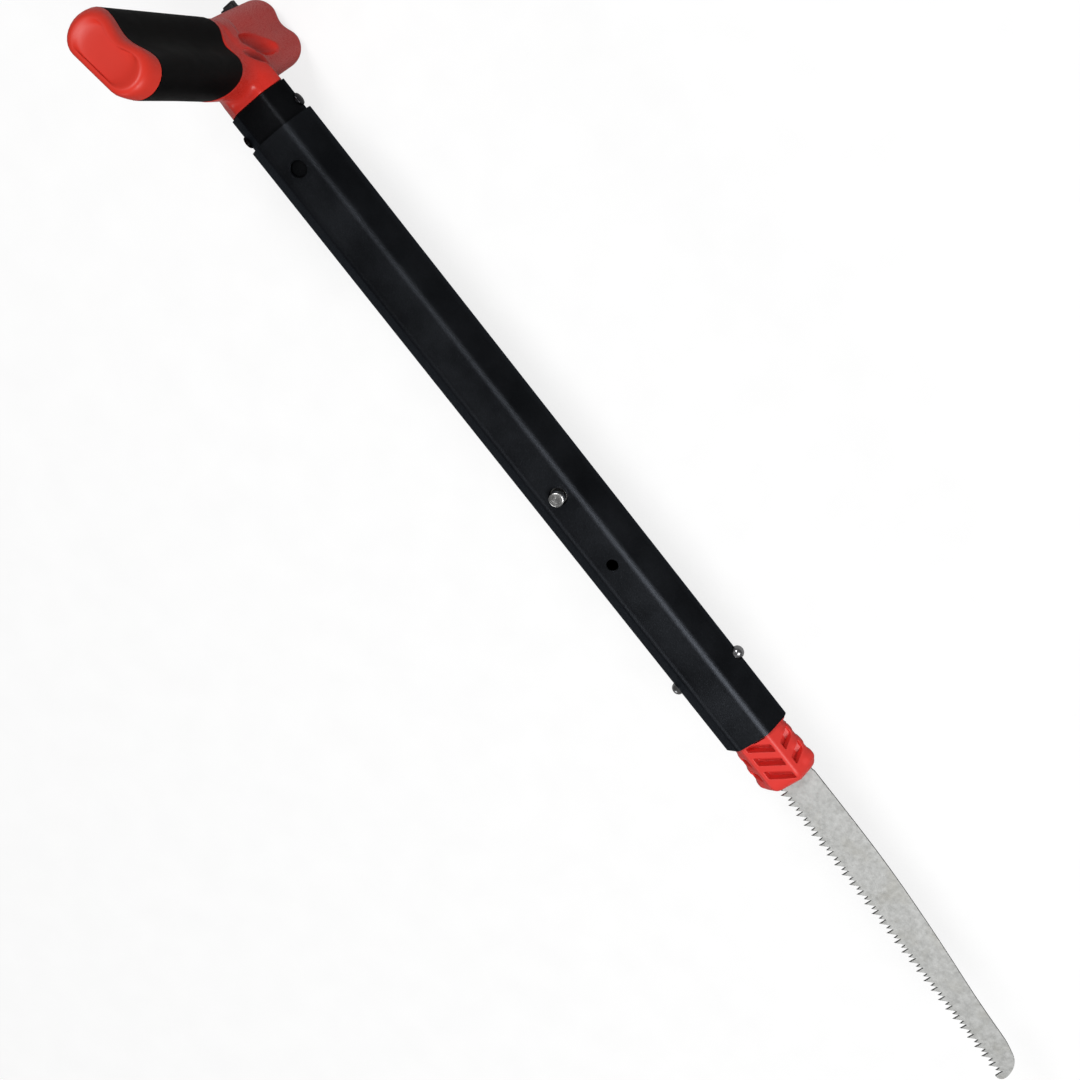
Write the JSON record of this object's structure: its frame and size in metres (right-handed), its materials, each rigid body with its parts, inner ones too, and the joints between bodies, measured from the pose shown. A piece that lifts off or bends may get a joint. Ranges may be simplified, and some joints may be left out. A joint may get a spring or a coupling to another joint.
{
  "type": "telescoping pole saw",
  "caption": "Telescoping oval shaft with a long-armed crossbar grip, spring locking buttons and a push-in pull saw blade at the far end.",
  "frame": {"origin": "middle of the outer tube's flat back face, half-way along the tube", "axes": "+X along the shaft from the grip to the saw's tip, +Z out of the broad flat that carries the lock button, +Y to the saw blade's smooth back"},
  "size_m": [0.7167, 0.0448, 0.1852],
  "materials": {
    "tube_black": "black anodised, fine bead-blasted satin",
    "inner_black": "black anodised satin",
    "red_plastic": "moulded, half gloss",
    "grip_rubber": "matt overmoulded rubber",
    "black_nylon": "moulded nylon",
    "button_steel": "turned stainless",
    "spring_steel": "blued spring strip",
    "blade_steel": "ground and tumbled, light grey",
    "rivet_black": "black oxide, worn at the dome"
  },
  "bodies": {
    "shaft": {"outer_tube": "tube_black", "side_spring": "spring_steel"},
    "grip": {"inner_tube": "inner_black", "inner_tube_bush": "black_nylon", "grip_core": "red_plastic", "grip_sleeve": "grip_rubber", "grip_end_cap": "red_plastic", "grip_lug": "black_nylon", "handle_rivet_left": "rivet_black", "handle_rivet_right": "rivet_black", "lock_spring": "spring_steel"},
    "lock": {"lock_button": "button_steel"},
    "button_right": {"side_button_right": "button_steel"},
    "button_left": {"side_button_left": "button_steel"},
    "saw": {"saw_plug": "red_plastic", "saw_blade": "blade_steel", "blade_pin_front": "spring_steel", "blade_pin_rear": "spring_steel"}
  },
  "joints": [
    {"name": "grip_slide", "type": "slide", "parent": "shaft", "child": "grip", "axis": [-1, 0, 0], "range_m": [0, 0.202], "deforming": ["lock_button", "lock_spring"]},
    {"name": "lock_press", "type": "slide", "parent": "grip", "child": "lock", "axis": [0, 0, -1], "range_m": [0, 0.0045], "stiffness_N_per_m": 1200, "springref_m": -0.003},
    {"name": "right_button_press", "type": "slide", "parent": "shaft", "child": "button_right", "axis": [0, -1, 0], "range_m": [0, 0.0033], "stiffness_N_per_m": 1200, "springref_m": -0.003, "deforming": ["side_spring"]},
    {"name": "left_button_press", "type": "slide", "parent": "shaft", "child": "button_left", "axis": [0, 1, 0], "range_m": [0, 0.0033], "stiffness_N_per_m": 1200, "springref_m": -0.003},
    {"name": "saw_pull", "type": "slide", "parent": "shaft", "child": "saw", "axis": [1, 0, 0], "range_m": [0, 0.052]}
  ]
}
